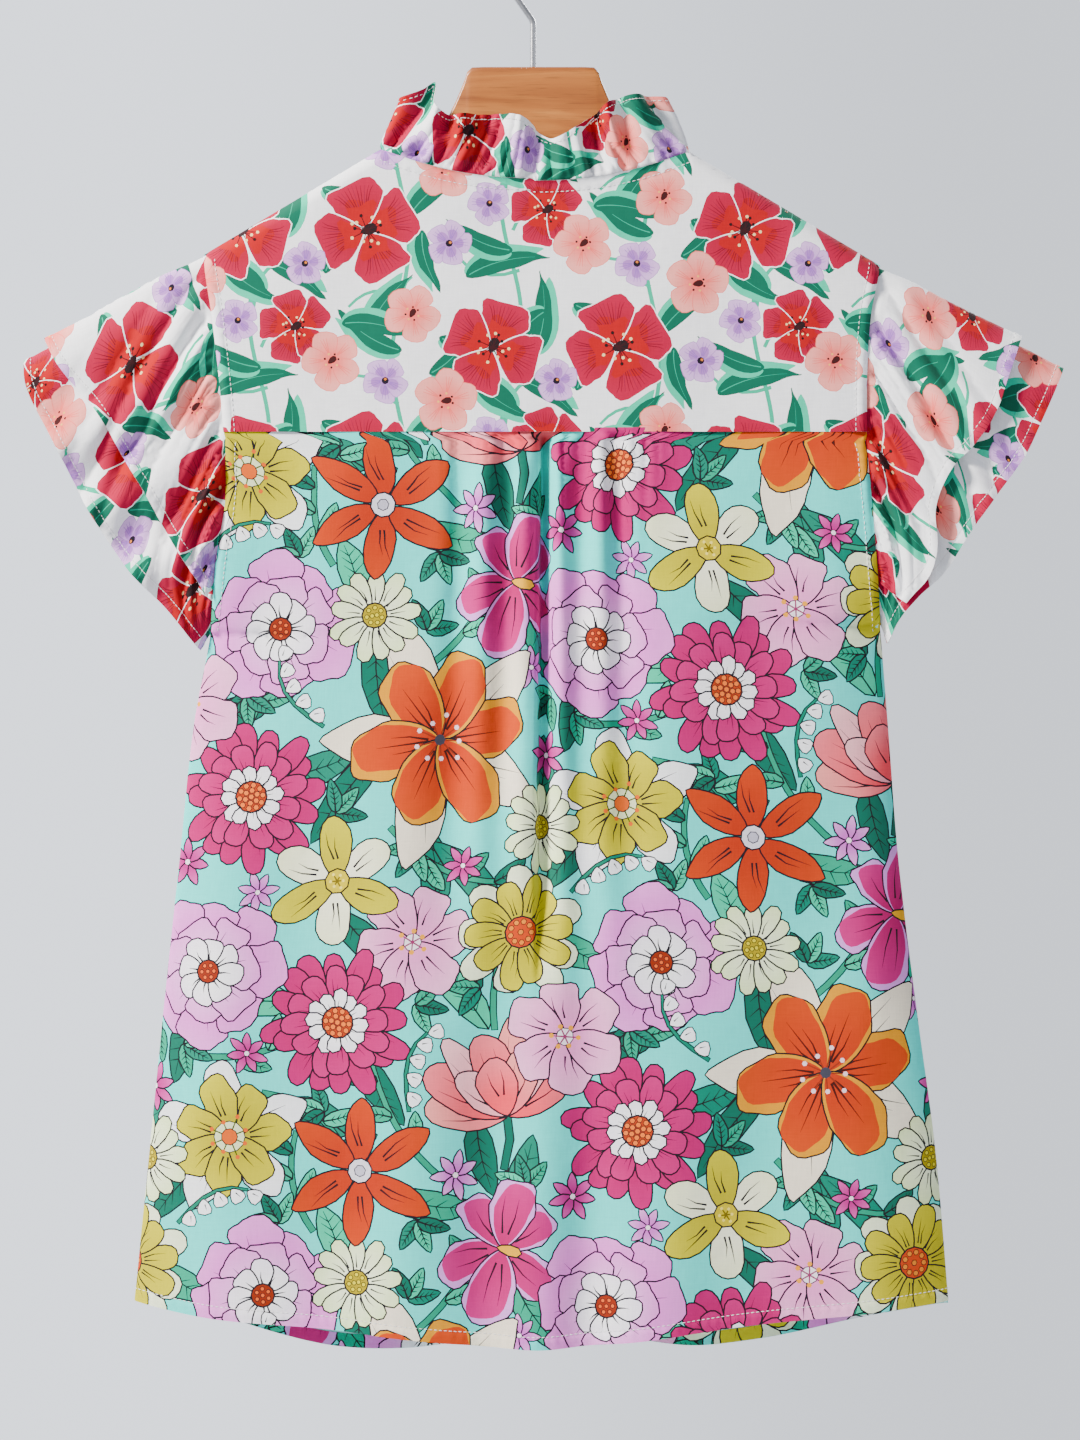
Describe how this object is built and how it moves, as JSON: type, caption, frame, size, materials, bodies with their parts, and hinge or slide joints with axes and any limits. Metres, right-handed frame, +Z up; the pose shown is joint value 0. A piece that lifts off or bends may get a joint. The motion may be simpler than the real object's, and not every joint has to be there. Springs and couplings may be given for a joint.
{
  "type": "blouse on a hanger",
  "caption": "Short-sleeved floral blouse with ruffled collar, tiered flutter sleeves and gathered back, hung on a wooden hanger.",
  "frame": {"origin": "inside of the crown of the hanger's hook, where a rail touches it", "axes": "+Z up, -Y towards the back of the blouse, +Y towards its front, +X to the right as seen from its back"},
  "size_m": [0.6236, 0.0571, 0.8658],
  "materials": {
    "white_cotton": "matt woven cotton with a printed pattern of crimson, peach and lavender flowers on white",
    "aqua_cotton": "matt woven cotton with a printed pattern of large outlined flowers on pale aqua",
    "wood": "satin lacquered honey wood",
    "steel": "satin nickel plated wire"
  },
  "bodies": {
    "root": {"hanger_hook": "steel", "hanger_body": "wood", "back_yoke": "white_cotton", "back_panel": "aqua_cotton", "front_panel": "aqua_cotton", "collar": "white_cotton", "sleeve_lower_left": "white_cotton", "sleeve_upper_left": "white_cotton", "sleeve_lower_right": "white_cotton", "sleeve_upper_right": "white_cotton"}
  },
  "joints": []
}
